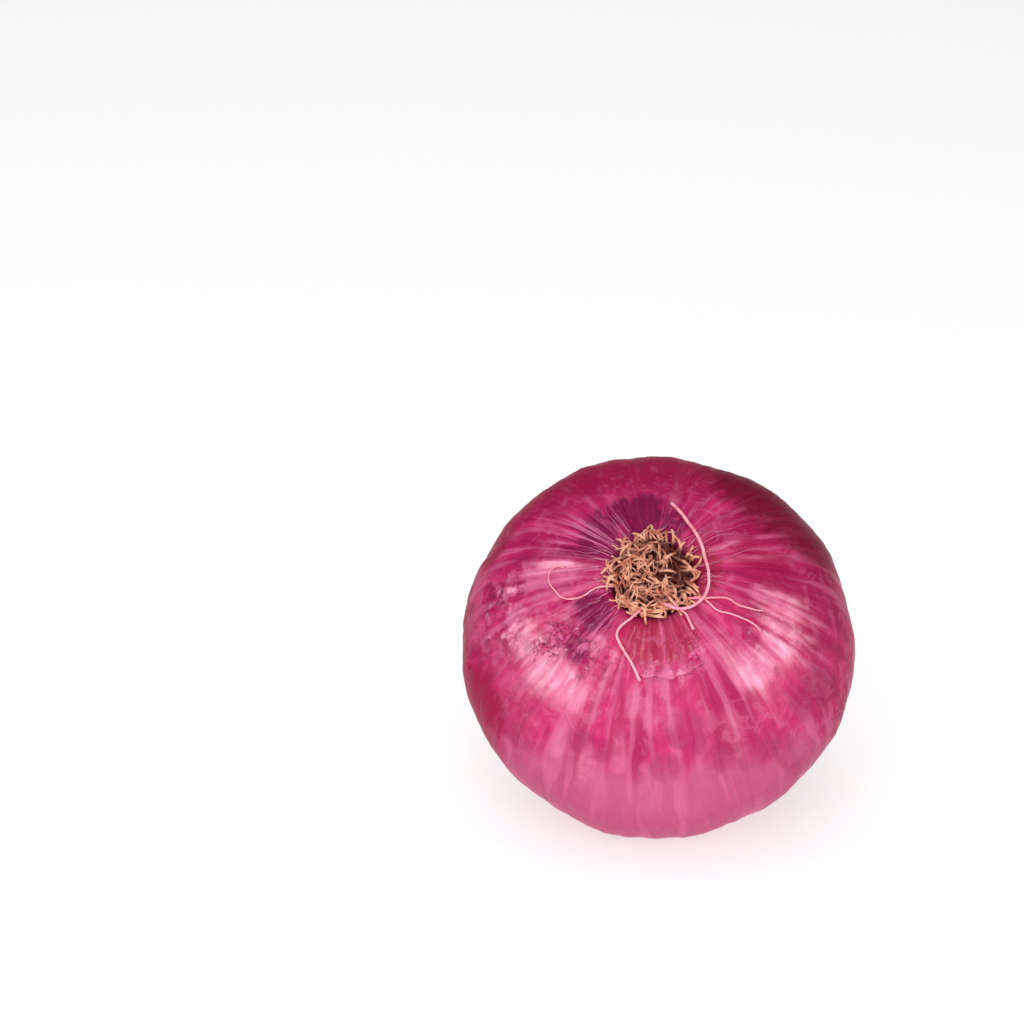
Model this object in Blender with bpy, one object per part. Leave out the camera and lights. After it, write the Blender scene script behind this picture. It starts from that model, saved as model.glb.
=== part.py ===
"""A red onion, lying on a small flat spot of its belly and on the end of its short dry neck.

Three pieces grow on one axis: the bulb, the tuft of dry roots on its basal plate, and the dry neck.
Each is modelled upright round that axis, +Z towards the roots and the equator at z = 0, and an empty
then tilts and places them together. The floor is the world's plane z = 0, the origin lies under the
middle of the onion, and the root end looks up and to the front, which is -Y.
"""

import math
import random

import bmesh
import bpy
from mathutils import Euler, Matrix, Vector, noise

MM = 0.001
GOLDEN_ANGLE = math.pi * (3 - math.sqrt(5))

# The bulb's axis: how far the root end leans from upright to the front and to the left
AXIS_TILT = math.radians(40.5)
AXIS_LEAN = math.radians(-3.0)
EQUATOR_CENTRE = Vector((-0.1, -0.41, 36.8)) * MM

# The bulb's outline: radius, and height from the equator
BULB_RADIUS = 41.0 * MM
CROWN_HEIGHT = 33.5 * MM
BASE_HEIGHT = 34.0 * MM
BELLY_FULLNESS = 2.12
BELLY_END = math.radians(151)
STUMP_RADIUS = 5.6 * MM
STUMP_END = -37.0 * MM
BULB_SIDES = 88
CROWN_STEPS = 13
BELLY_STEPS = 11
CURVE_STEPS = 4

# The hollow at the root end, in which the basal plate sits
PIT_RADIUS = 8.4 * MM
PIT_FLOOR = 27.6 * MM
PIT_DEPTH = 4.0 * MM
LIP_RADIUS = 12.5 * MM
LIP_ANGLE = math.asin(LIP_RADIUS / BULB_RADIUS)
LIP_HEIGHT = CROWN_HEIGHT * math.cos(LIP_ANGLE)

# The bulb's relief: low lumps, long ribs, and wrinkles gathered round the roots
LUMP_RISE = 0.9 * MM
LUMPS_ACROSS = 1.25
RIBS = 13
RIB_RISE = 0.27 * MM
WRINKLES = 23
WRINKLE_RISE = 0.24 * MM

# The basal plate and the roots on it
FIT_GAP = 0.3 * MM
PLATE_RADIUS = 8.0 * MM
PLATE_TOP = 32.5 * MM
PLATE_SIDES = 28
ROOT_RADIUS = 0.48 * MM
TRAIL_RADIUS = 0.43 * MM
ROOT_TAPER = 0.35
ROOT_CLEARANCE = 1.0 * MM
ROOT_DEPTH = 1.3 * MM
MAT_ROOTS = 54
MAT_STRIDES = 5
RIM_ROOTS = 18
RIM_STRIDES = 4
TRAIL_STRIDE = 2.6 * MM
ROOT_SEED = 12

# The long roots over the skin: where each leaves the plate, its first and its last heading in degrees
# counted from the right, how early it turns, its length in mm and how far it stands off the skin in mm
TRAILING_ROOTS = (
    (-100, -65, 120, 2.5, 36, 3.0),
    (-145, -100, -75, 1.5, 18, 1.1),
    (-165, -125, -345, 0.6, 21, 1.1),
    (-55, -5, -10, 1.0, 19, 1.3),
    (-30, -45, -20, 2.5, 19, 1.1),
    (-25, -130, -45, 1.5, 10, 1.1),
    (75, 10, 40, 2.0, 15, 1.1),
    (125, 190, 125, 3.0, 17, 1.1),
    (160, 150, 170, 1.0, 10, 1.1),
)

# The dry neck: a core with the stubs of dried leaves round it
NECK_TOP = STUMP_END - 0.4 * MM - FIT_GAP
NECK_LENGTH = 9.0 * MM
NECK_SIDES = 16
NECK_BEND_START = -33.5 * MM
NECK_BEND = 0.008 / MM
BLADES = 7
BLADE_THICKNESS = 0.7 * MM
BLADE_PLEAT = 0.25 * MM
BLADE_RAGGED = 0.8 * MM
BLADE_SEED = 3


def clear_scene():
    for obj in list(bpy.data.objects):
        bpy.data.objects.remove(obj)


def material(name, colour, roughness):
    made = bpy.data.materials.new(name)
    made.use_nodes = True
    shader = made.node_tree.nodes["Principled BSDF"]
    shader.inputs["Base Color"].default_value = (*colour, 1)
    shader.inputs["Roughness"].default_value = roughness
    shader.inputs["Metallic"].default_value = 0.0
    made.diffuse_color = (*colour, 1)
    return made


def skin_material():
    return material("onion_skin", (0.42, 0.035, 0.14), 0.34)


def root_material():
    return material("dry_root", (0.55, 0.36, 0.17), 0.8)


def leaf_material():
    return material("dry_leaf", (0.48, 0.30, 0.16), 0.7)


def smoothstep(low, high, value):
    share = min(1.0, max(0.0, (value - low) / (high - low)))
    return share * share * (3 - 2 * share)


def direction(angle):
    return Vector((math.cos(angle), math.sin(angle)))


def as_object(name, mesh, finish, parent):
    data = bpy.data.meshes.new(name)
    mesh.to_mesh(data)
    mesh.free()
    data.materials.append(finish)
    data.shade_smooth()
    obj = bpy.data.objects.new(name, data)
    bpy.context.scene.collection.objects.link(obj)
    obj.parent = parent
    return obj


def bezier(start, first, second, end, steps):
    """Points of one cubic curve in the outline's plane, without its last."""
    points = []
    for i in range(steps):
        t = i / steps
        s = 1 - t
        weights = (s**3, 3 * s * s * t, 3 * s * t * t, t**3)
        corners = (start, first, second, end)
        points.append(tuple(sum(w * c[k] for w, c in zip(weights, corners)) for k in (0, 1)))
    return points


def ellipse_point(height, angle, fullness=2.0):
    """A point of the bulb's outline at an angle from the root end. Above 2, the ellipse is fuller."""
    power = 2.0 / fullness
    sine = math.sin(angle) ** power
    cosine = math.copysign(abs(math.cos(angle)) ** power, math.cos(angle))
    return BULB_RADIUS * sine, height * cosine


def ellipse_arc(height, start, end, steps, fullness=2.0):
    """Points of the outline between two angles from the root end, without the last."""
    return [ellipse_point(height, start + (end - start) * i / steps, fullness) for i in range(steps)]


def pit_outline():
    """The hollow's floor, its steep wall and the round lip, up to where the crown begins."""
    lip = (LIP_RADIUS, LIP_HEIGHT)
    wall_foot = (PIT_RADIUS, PIT_FLOOR + 0.4 * PIT_DEPTH)
    wall_top = (PIT_RADIUS, PIT_FLOOR + PIT_DEPTH)
    lip_start = (0.82 * LIP_RADIUS, LIP_HEIGHT + 0.4 * MM)
    floor = [(0.0, PIT_FLOOR), (0.6 * PIT_RADIUS, PIT_FLOOR), (0.97 * PIT_RADIUS, PIT_FLOOR)]
    return floor + bezier(wall_foot, wall_top, lip_start, lip, CURVE_STEPS)


def stump_outline():
    """The shoulder that draws in to the neck's stump, and the stump's end."""
    waist = ellipse_point(BASE_HEIGHT, BELLY_END, BELLY_FULLNESS)
    stump = (STUMP_RADIUS, STUMP_END)
    drawn_in = (12.0 * MM, STUMP_END + 3.1 * MM)
    drawn_out = (6.9 * MM, STUMP_END + 2.8 * MM)
    rim = (0.72 * STUMP_RADIUS, NECK_TOP + FIT_GAP)
    return bezier(waist, drawn_in, drawn_out, stump, CURVE_STEPS) + [stump, rim, (0.0, NECK_TOP + FIT_GAP)]


def bulb_outline():
    """The turned outline, from the middle of the root pit down to the middle of the neck's stump."""
    crown = ellipse_arc(CROWN_HEIGHT, LIP_ANGLE, math.pi / 2, CROWN_STEPS)
    belly = ellipse_arc(BASE_HEIGHT, math.pi / 2, BELLY_END, BELLY_STEPS, BELLY_FULLNESS)
    return pit_outline() + crown + belly + stump_outline()


def turned(outline, sides):
    """A closed solid of revolution. Each vertex keeps its number in the outline as its rank."""
    mesh = bmesh.new()
    rank = mesh.verts.layers.int.new("rank")
    line = []
    for index, (radius, height) in enumerate(outline):
        vertex = mesh.verts.new((radius, 0, height))
        vertex[rank] = index
        line.append(vertex)
    edges = [mesh.edges.new(pair) for pair in zip(line, line[1:])]
    bmesh.ops.spin(
        mesh, geom=line + edges, cent=(0, 0, 0), axis=(0, 0, 1), angle=math.tau, steps=sides, use_merge=True
    )
    bmesh.ops.remove_doubles(mesh, verts=mesh.verts[:], dist=1e-6)
    bmesh.ops.recalc_face_normals(mesh, faces=mesh.faces[:])
    return mesh, rank


def relief(angle, radius, height):
    """How far the skin stands out from the turned outline at a place on it."""
    place = Vector((math.cos(angle), math.sin(angle), height / BULB_RADIUS))
    belly = smoothstep(9 * MM, 24 * MM, radius)
    lump = noise.noise(place * LUMPS_ACROSS + Vector((3.1, 0.7, 5.2))) * LUMP_RISE * belly
    drift = 0.30 * math.sin(2 * angle + 1.0) + 0.18 * math.sin(5 * angle + 2.1 + height / (9 * MM))
    rib = math.cos(RIBS * angle + 2.4 * drift) * RIB_RISE * belly
    collar = smoothstep(8.6 * MM, 11 * MM, radius) * (1 - smoothstep(14 * MM, 24 * MM, radius))
    uneven = 0.6 + 0.9 * noise.noise(place * 4.0)
    strength = collar * uneven * (1.0 if height > 0 else 0.5)
    wrinkle = math.cos(WRINKLES * angle + 3.0 * drift) * WRINKLE_RISE * strength
    return lump + rib + wrinkle


def neck_bend(height):
    """How far the neck gives way sideways under the bulb, so that its end lies flatter on the floor."""
    below = max(0.0, NECK_BEND_START - height)
    return below * below * NECK_BEND


def outward(outline, index):
    """The outline's normal at one of its points, as a radius and a height."""
    before = outline[max(0, index - 1)]
    after = outline[min(len(outline) - 1, index + 1)]
    run = Vector((after[0] - before[0], after[1] - before[1])).normalized()
    return Vector((-run.y, run.x))


def add_relief(mesh, rank, outline):
    """Moves every turned vertex out by the relief, and bends the stump."""
    for vertex in mesh.verts:
        radius = vertex.co.xy.length
        height = vertex.co.z
        if radius > 0.1 * MM:
            angle = math.atan2(vertex.co.y, vertex.co.x)
            normal = outward(outline, vertex[rank])
            out = relief(angle, radius, height)
            vertex.co.xy += direction(angle) * normal.x * out
            vertex.co.z += normal.y * out
        vertex.co.y += neck_bend(height)


def cut_at_floor(mesh, placed):
    """Takes off what would reach below the floor, which leaves a flat spot to rest on."""
    to_local = placed.inverted()
    up = (to_local.to_3x3() @ Vector((0, 0, 1))).normalized()
    geometry = mesh.verts[:] + mesh.edges[:] + mesh.faces[:]
    cut = bmesh.ops.bisect_plane(
        mesh, geom=geometry, plane_co=to_local.translation, plane_no=up, clear_inner=True, dist=1e-7
    )
    rim = [item for item in cut["geom_cut"] if isinstance(item, bmesh.types.BMEdge)]
    bmesh.ops.holes_fill(mesh, edges=rim, sides=0)


def carpet(radius):
    """The height of what a root lies on, at a distance from the axis: the plate, then the skin."""
    if radius < LIP_RADIUS:
        share = smoothstep(PLATE_RADIUS * 0.5, LIP_RADIUS, radius)
        return PLATE_TOP * (1 - share) + LIP_HEIGHT * share
    return CROWN_HEIGHT * math.sqrt(1 - (radius / BULB_RADIUS) ** 2)


def over_carpet(place, lift):
    """A point over a place in the plane of the plate, clear of the skin's relief."""
    radius = max(place.length, 0.1 * MM)
    angle = math.atan2(place.y, place.x)
    step = 0.2 * MM
    slope = (carpet(radius + step) - carpet(radius)) / step
    up = 1 / math.sqrt(1 + slope * slope)
    if radius > PLATE_RADIUS:
        lift = max(lift, ROOT_CLEARANCE)
    if radius > LIP_RADIUS:
        lift += relief(angle, radius, carpet(radius))
    far = direction(angle) * (radius - slope * up * lift)
    return Vector((far.x, far.y, carpet(radius) + up * lift))


def walk(start, headings, stride, lifts):
    """A root's points: one stride along each heading, at a lift over the carpet for every point."""
    place = start.copy()
    points = [over_carpet(place, lifts[0])]
    for heading, lift in zip(headings, lifts[1:]):
        place += direction(heading) * stride
        points.append(over_carpet(place, lift))
    return points


def mat_root(index, chance):
    """A short curled root of the mat: it rises from the plate, bends to and fro and ends lower down."""
    share = math.sqrt((index + 0.5) / MAT_ROOTS)
    angle = index * GOLDEN_ANGLE
    start = direction(angle) * share * (PLATE_RADIUS - 0.8 * MM)
    heading = angle + chance.uniform(-1.7, 1.7)
    bend = chance.choice((-1, 1)) * chance.uniform(0.4, 1.5)
    sway = chance.uniform(0.0, 1.2)
    height = chance.uniform(0.9, 2.7) * MM * (1.2 - 0.5 * share)
    stride = chance.uniform(0.9, 1.35) * MM
    headings = [heading + bend * math.sin(sway * i) for i in range(MAT_STRIDES)]
    lifts = [height * math.sin(math.pi * (0.1 + 0.8 * i / MAT_STRIDES)) for i in range(MAT_STRIDES + 1)]
    lifts[0] = -ROOT_DEPTH
    return walk(start, headings, stride, lifts)


def rim_root(index, chance):
    """A root at the plate's edge that lies down along the lip of the skin."""
    angle = math.tau * (index + chance.uniform(-0.3, 0.3)) / RIM_ROOTS
    start = direction(angle) * (PLATE_RADIUS - 0.9 * MM)
    side = chance.choice((-1, 1))
    first = angle + side * chance.uniform(0.3, 0.9)
    turn = side * chance.uniform(0.08, 0.34)
    headings = [first + turn * i for i in range(RIM_STRIDES)]
    lifts = [-ROOT_DEPTH] + [chance.uniform(0.9, 1.5) * MM for _ in range(RIM_STRIDES)]
    return walk(start, headings, chance.uniform(0.9, 1.25) * MM, lifts)


def trailing_root(leaves, first, last, early, length, lift):
    """A long root over the skin, which turns from its first heading to its last."""
    start = direction(math.radians(leaves)) * (PLATE_RADIUS - 1.2 * MM)
    count = round(length / TRAIL_STRIDE)
    headings = []
    for i in range(count):
        turned_share = 1 - (1 - (i + 0.5) / count) ** early
        headings.append(math.radians(first + (last - first) * turned_share))
    lifts = [-ROOT_DEPTH, 0.8 * MM]
    lifts += [lift * math.sin(math.pi * (i + 1) / count) for i in range(count - 1)]
    return walk(start, headings, TRAIL_STRIDE, lifts)


def root_tube(points, thickness, finish):
    """One root: a tube of four sides that tapers towards its tip."""
    data = bpy.data.curves.new("root", "CURVE")
    data.dimensions = "3D"
    data.bevel_depth = thickness
    data.bevel_resolution = 0
    data.use_fill_caps = True
    spline = data.splines.new("POLY")
    spline.points.add(len(points) - 1)
    for index, place in enumerate(points):
        spline.points[index].co = (*place, 1)
        spline.points[index].radius = 1.0 - ROOT_TAPER * index / (len(points) - 1)
    curve = bpy.data.objects.new("root", data)
    bpy.context.scene.collection.objects.link(curve)
    graph = bpy.context.evaluated_depsgraph_get()
    mesh = bmesh.new()
    mesh.from_mesh(curve.evaluated_get(graph).to_mesh())
    bpy.data.objects.remove(curve)
    bmesh.ops.remove_doubles(mesh, verts=mesh.verts[:], dist=1e-6)
    bmesh.ops.recalc_face_normals(mesh, faces=mesh.faces[:])
    return as_object("root", mesh, finish, None)


def plate_outline():
    """The basal plate: a low dome whose edge stands just under the skin's lip."""
    foot = PIT_FLOOR + FIT_GAP
    return [
        (0.0, PLATE_TOP),
        (PLATE_RADIUS * 0.38, PLATE_TOP - 0.15 * MM),
        (PLATE_RADIUS * 0.72, PLATE_TOP - 0.7 * MM),
        (PLATE_RADIUS * 0.92, PLATE_TOP - 1.4 * MM),
        (PLATE_RADIUS, PLATE_TOP - 2.2 * MM),
        (PLATE_RADIUS * 0.96, foot),
        (0.0, foot),
    ]


def neck_outline():
    """The neck's core, which narrows among the leaf stubs."""
    return [
        (0.0, NECK_TOP),
        (STUMP_RADIUS * 0.85, NECK_TOP),
        (STUMP_RADIUS * 0.86, NECK_TOP - 0.18 * NECK_LENGTH),
        (STUMP_RADIUS * 0.62, NECK_TOP - 0.6 * NECK_LENGTH),
        (0.0, NECK_TOP - 0.7 * NECK_LENGTH),
    ]


def largest_body(mesh):
    """Keeps the largest connected body: fusing may leave a scrap or a sealed hollow, which goes."""
    left = set(mesh.verts)
    bodies = []
    while left:
        body = {left.pop()}
        front = list(body)
        while front:
            vertex = front.pop()
            near = {edge.other_vert(vertex) for edge in vertex.link_edges} - body
            body |= near
            front += near
        left -= body
        bodies.append(body)
    bodies.sort(key=len)
    scraps = [vertex for body in bodies[:-1] for vertex in body]
    bmesh.ops.delete(mesh, geom=scraps, context="VERTS")


def fused(base, repeats):
    """The mesh of one Boolean union of the base with all its repeats, whose own objects are removed."""
    group = bpy.data.collections.new("repeats")
    bpy.context.scene.collection.children.link(group)
    for piece in repeats:
        bpy.context.scene.collection.objects.unlink(piece)
        group.objects.link(piece)
    join = base.modifiers.new("join", "BOOLEAN")
    join.operation = "UNION"
    join.operand_type = "COLLECTION"
    join.collection = group
    graph = bpy.context.evaluated_depsgraph_get()
    mesh = bmesh.new()
    mesh.from_mesh(base.evaluated_get(graph).to_mesh())
    for piece in [*repeats, base]:
        bpy.data.objects.remove(piece)
    bpy.data.collections.remove(group)
    largest_body(mesh)
    return mesh


def neck_blade(index, chance, finish):
    """One dried leaf stub: a pleated strip bent round the neck, narrower and ragged at its cut end."""
    middle = index * GOLDEN_ANGLE
    inner = chance.uniform(0.45, 0.80) * STUMP_RADIUS
    spread = chance.uniform(0.6, 0.85)
    length = NECK_LENGTH * chance.uniform(0.78, 1.0)
    flare = chance.uniform(0.0, 1.3) * MM
    mesh = bmesh.new()
    bmesh.ops.create_grid(mesh, x_segments=4, y_segments=4, size=1.0)
    for vertex in mesh.verts:
        across = vertex.co.x
        along = (vertex.co.y + 1) / 2
        angle = middle + across * spread * (1 - 0.35 * along)
        radius = inner + flare * along * along + BLADE_PLEAT * math.cos(9 * across)
        ragged = BLADE_RAGGED * math.sin(7 * across + index) * along
        height = NECK_TOP - 0.5 * MM - along * length - ragged
        round_neck = direction(angle) * radius
        vertex.co = (round_neck.x, round_neck.y + neck_bend(height), height)
    bmesh.ops.recalc_face_normals(mesh, faces=mesh.faces[:])
    bmesh.ops.solidify(mesh, geom=mesh.faces[:], thickness=BLADE_THICKNESS)
    bmesh.ops.recalc_face_normals(mesh, faces=mesh.faces[:])
    return as_object("blade", mesh, finish, None)


def make_axis():
    """The empty that every piece hangs from: the middle of the equator, tilted as the onion lies."""
    axis = bpy.data.objects.new("onion_axis", None)
    bpy.context.scene.collection.objects.link(axis)
    axis.rotation_euler = Euler((AXIS_TILT, AXIS_LEAN, 0))
    axis.location = EQUATOR_CENTRE
    return axis, Matrix.Translation(EQUATOR_CENTRE) @ axis.rotation_euler.to_matrix().to_4x4()


def make_bulb(axis, placed):
    outline = bulb_outline()
    mesh, rank = turned(outline, BULB_SIDES)
    add_relief(mesh, rank, outline)
    cut_at_floor(mesh, placed)
    as_object("bulb", mesh, skin_material(), axis)


def make_root_tuft(axis):
    finish = root_material()
    chance = random.Random(ROOT_SEED)
    mesh, _ = turned(plate_outline(), PLATE_SIDES)
    plate = as_object("plate", mesh, finish, None)
    roots = [root_tube(mat_root(i, chance), ROOT_RADIUS, finish) for i in range(MAT_ROOTS)]
    roots += [root_tube(rim_root(i, chance), ROOT_RADIUS, finish) for i in range(RIM_ROOTS)]
    for leaves, first, last, early, length, lift in TRAILING_ROOTS:
        points = trailing_root(leaves, first, last, early, length * MM, lift * MM)
        roots.append(root_tube(points, TRAIL_RADIUS, finish))
    as_object("root_tuft", fused(plate, roots), finish, axis)


def make_dry_neck(axis, placed):
    finish = leaf_material()
    chance = random.Random(BLADE_SEED)
    mesh, _ = turned(neck_outline(), NECK_SIDES)
    for vertex in mesh.verts:
        vertex.co.y += neck_bend(vertex.co.z)
    core = as_object("core", mesh, finish, None)
    blades = [neck_blade(index, chance, finish) for index in range(BLADES)]
    neck = fused(core, blades)
    cut_at_floor(neck, placed)
    largest_body(neck)
    as_object("dry_neck", neck, finish, axis)


def main():
    clear_scene()
    axis, placed = make_axis()
    make_bulb(axis, placed)
    make_root_tuft(axis)
    make_dry_neck(axis, placed)


main()
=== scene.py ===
# %% [markdown]
# # A red onion
#
# A red onion is a bulb of fleshy scales in a few papery skins, which dry to a satin magenta. The
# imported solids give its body, its tuft of dry roots and its dry neck. This lesson replaces each of
# them by a finer piece of the same form, and gives each piece the finish of the real thing.

# %% Load the frame
import math
import random

import bmesh
import bpy
from mathutils import Euler, Matrix, Vector, noise


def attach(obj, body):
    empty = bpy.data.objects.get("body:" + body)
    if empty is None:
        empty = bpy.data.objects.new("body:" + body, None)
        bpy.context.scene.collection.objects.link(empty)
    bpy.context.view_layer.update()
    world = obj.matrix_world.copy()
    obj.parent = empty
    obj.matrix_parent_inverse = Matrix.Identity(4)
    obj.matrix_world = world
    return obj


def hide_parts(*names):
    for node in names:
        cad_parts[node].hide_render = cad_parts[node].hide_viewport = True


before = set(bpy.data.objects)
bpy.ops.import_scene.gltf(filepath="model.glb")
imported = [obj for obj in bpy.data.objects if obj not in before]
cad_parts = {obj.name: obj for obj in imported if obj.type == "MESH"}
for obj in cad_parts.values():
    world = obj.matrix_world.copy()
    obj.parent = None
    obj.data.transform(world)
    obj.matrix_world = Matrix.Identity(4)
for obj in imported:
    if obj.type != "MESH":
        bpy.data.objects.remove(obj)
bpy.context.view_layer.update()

MM = 0.001

# %% [markdown]
# ## The camera
#
# The onion is seen from a little above, with its root end turned to the viewer. A long lens from
# 0.6 m away keeps the outline round, as in the photograph. The camera looks a little past the
# onion, so that the onion lies to the lower right of the middle.

# %% Camera
EQUATOR_CENTRE = Vector((-0.1, -0.41, 36.8)) * MM
VIEW_ELEVATION = math.radians(24)
VIEW_DISTANCE = 0.6
VIEW_TURN = math.radians(3.2)
VIEW_RAISE = math.radians(2.62)
LENS = 100.3


def add_camera():
    data = bpy.data.cameras.new("camera")
    data.lens = LENS
    data.sensor_width = 36.0
    camera = bpy.data.objects.new("camera", data)
    away = Vector((0, -math.cos(VIEW_ELEVATION), math.sin(VIEW_ELEVATION)))
    camera.location = EQUATOR_CENTRE + away * VIEW_DISTANCE
    camera.rotation_euler = (math.pi / 2 - VIEW_ELEVATION + VIEW_RAISE, 0, VIEW_TURN)
    bpy.context.scene.collection.objects.link(camera)
    bpy.context.scene.camera = camera
    return camera


camera = add_camera()
print("the camera is", round(camera.location.length, 3), "m from the middle of the floor")

# %% [markdown]
# ## The studio
#
# A pale floor and soft lights. A satin skin shows its lights as broad soft highlights, one on each
# side of the roots. So two softboxes, low at the left and the right of the front, show only as
# reflections. Three large fills give all the other light, and are hidden from reflections, so that
# the skin stays deep in colour on top. For the same reason the world is dark overhead and a little
# paler at the right. The floor glows a little, as on a light table, which keeps its shadow soft.

# %% First node helpers
def add_node(tree, kind, inputs=None, **settings):
    """Adds a node. Each input is given a value, or the output that feeds it."""
    node = tree.nodes.new(kind)
    for name, value in settings.items():
        setattr(node, name, value)
    for name, value in (inputs or {}).items():
        if isinstance(value, bpy.types.NodeSocket):
            tree.links.new(value, node.inputs[name])
        else:
            node.inputs[name].default_value = value
    return node


def soft_mask(tree, value, low, high, first=0.0, last=1.0):
    """0 at low, 1 at high, and smooth between. Low may be the higher of the two."""
    ends = {"Value": value, "From Min": low, "From Max": high, "To Min": first, "To Max": last}
    made = add_node(tree, "ShaderNodeMapRange", ends, interpolation_type="SMOOTHSTEP")
    return made.outputs["Result"]


def new_material(name):
    made = bpy.data.materials.new(name)
    made.use_nodes = True
    return made, made.node_tree, made.node_tree.nodes["Principled BSDF"]


# %% Studio
SOFTBOX_DISTANCE = 0.9
FLOOR_GLOW = 0.60
FLOOR_GAP = 0.05 * MM


def pale_paper():
    made, _, shader = new_material("pale_paper")
    shader.inputs["Base Color"].default_value = (0.5, 0.5, 0.5, 1)
    shader.inputs["Roughness"].default_value = 0.9
    shader.inputs["Emission Color"].default_value = (1, 1, 1, 1)
    shader.inputs["Emission Strength"].default_value = FLOOR_GLOW
    return made


def add_floor():
    mesh = bmesh.new()
    bmesh.ops.create_grid(mesh, x_segments=1, y_segments=1, size=1.5)
    data = bpy.data.meshes.new("floor")
    mesh.to_mesh(data)
    mesh.free()
    data.materials.append(pale_paper())
    floor = bpy.data.objects.new("floor", data)
    floor.location.z = -FLOOR_GAP
    bpy.context.scene.collection.objects.link(floor)


def softbox(name, towards, distance, width, height, watts, mirrored=False):
    """A soft light facing the onion. Mirrored, it shows in reflections alone, or else in none."""
    data = bpy.data.lights.new(name, "AREA")
    data.shape = "RECTANGLE"
    data.size = width
    data.size_y = height
    data.energy = watts
    light = bpy.data.objects.new(name, data)
    away = Vector(towards).normalized()
    light.location = EQUATOR_CENTRE + away * distance
    light.rotation_euler = (-away).to_track_quat("-Z", "Y").to_euler()
    light.visible_glossy = mirrored
    light.visible_diffuse = not mirrored
    bpy.context.scene.collection.objects.link(light)


def add_world(left, right, above):
    """A grey world: one strength at the left, one at the right, and another overhead."""
    world = bpy.data.worlds.new("studio")
    world.use_nodes = True
    tree = world.node_tree
    way = tree.nodes.new("ShaderNodeTexCoord")
    parts = tree.nodes.new("ShaderNodeSeparateXYZ")
    tree.links.new(way.outputs["Generated"], parts.inputs[0])
    low = soft_mask(tree, parts.outputs["X"], -0.7, 0.7, left, right)
    strength = soft_mask(tree, parts.outputs["Z"], 0.0, 0.5, low, above)
    tree.links.new(strength, tree.nodes["Background"].inputs["Strength"])
    tree.nodes["Background"].inputs["Color"].default_value = (1, 1, 1, 1)
    bpy.context.scene.world = world


add_floor()
softbox("left_softbox", (-0.80, -0.54, 0.30), SOFTBOX_DISTANCE, 0.90, 0.56, 10.5, mirrored=True)
softbox("right_softbox", (0.88, -0.36, 0.36), SOFTBOX_DISTANCE, 0.74, 0.54, 11, mirrored=True)
softbox("front_fill", (-0.05, -0.85, 0.40), 1.6, 1.6, 1.2, 24)
softbox("overhead_fill", (-0.10, -0.15, 1.0), 1.6, 2.0, 2.0, 19)
softbox("back_fill", (-0.1, 0.9, 0.5), 1.4, 1.0, 1.0, 1.5)
add_world(0.08, 0.35, 0.06)
bpy.context.scene.view_settings.view_transform = "Standard"
print("lights:", sorted(light.name for light in bpy.data.lights))

# %% [markdown]
# ## The axis
#
# An onion grows round one axis, and lies tilted on its belly. It is easiest to model it upright
# round +Z, with the equator at z = 0 and the roots on top, and to lay the finished mesh down. What
# would then reach below the floor is cut off, which leaves the small flat spot that it rests on.

# %% Lay a piece down
AXIS = Euler((math.radians(40.5), math.radians(-3.0), 0))
PLACED = Matrix.Translation(EQUATOR_CENTRE) @ AXIS.to_matrix().to_4x4()


def lay_down(mesh):
    """Tilts an upright mesh as the onion lies, and cuts it flat where it meets the floor."""
    bmesh.ops.transform(mesh, matrix=PLACED, verts=mesh.verts[:])
    geometry = mesh.verts[:] + mesh.edges[:] + mesh.faces[:]
    cut = bmesh.ops.bisect_plane(
        mesh, geom=geometry, plane_co=(0, 0, 0), plane_no=(0, 0, 1), clear_inner=True, dist=1e-7
    )
    rim = [item for item in cut["geom_cut"] if isinstance(item, bmesh.types.BMEdge)]
    if rim:
        bmesh.ops.holes_fill(mesh, edges=rim, sides=0)


def as_piece(name, mesh, finish, node=None):
    """Makes a laid-down mesh an object that moves with the onion."""
    data = bpy.data.meshes.new(name)
    mesh.to_mesh(data)
    mesh.free()
    data.materials.append(finish)
    data.shade_smooth()
    piece = bpy.data.objects.new(name, data)
    bpy.context.scene.collection.objects.link(piece)
    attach(piece, "root")
    if node:
        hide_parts(node)
    data.calc_loop_triangles()
    print(name, "has", len(data.loop_triangles), "triangles")
    return piece


# %% [markdown]
# ## The outline
#
# The body is turned: one outline, spun round the axis. The outline runs from the middle of the
# root hollow over its lip, down the crown and the fuller belly, and into the stump of the neck. It
# is the solid's own outline, with more points, so the form stays and the facets go.

# %% Outline of the bulb
BULB_RADIUS = 41.0 * MM
CROWN_HEIGHT = 33.5 * MM
BASE_HEIGHT = 34.0 * MM
BELLY_FULLNESS = 2.12
BELLY_END = math.radians(151)
STUMP_RADIUS = 5.6 * MM
STUMP_END = -37.0 * MM
STUMP_FACE = -37.4 * MM
PIT_RADIUS = 8.4 * MM
PIT_FLOOR = 27.6 * MM
PIT_DEPTH = 4.0 * MM
LIP_RADIUS = 12.5 * MM
LIP_ANGLE = math.asin(LIP_RADIUS / BULB_RADIUS)
LIP_HEIGHT = CROWN_HEIGHT * math.cos(LIP_ANGLE)
CROWN_STEPS = 74
BELLY_STEPS = 48
CURVE_STEPS = 12


def bezier(start, first, second, end, steps):
    """Points of one cubic curve in the outline's plane, without its last."""
    points = []
    for i in range(steps):
        t = i / steps
        s = 1 - t
        weights = (s**3, 3 * s * s * t, 3 * s * t * t, t**3)
        corners = (start, first, second, end)
        points.append(tuple(sum(w * c[k] for w, c in zip(weights, corners)) for k in (0, 1)))
    return points


def ellipse_point(height, angle, fullness=2.0):
    """A point of the outline at an angle from the root end. Above 2, the ellipse is fuller."""
    power = 2.0 / fullness
    sine = math.sin(angle) ** power
    cosine = math.copysign(abs(math.cos(angle)) ** power, math.cos(angle))
    return BULB_RADIUS * sine, height * cosine


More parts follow.
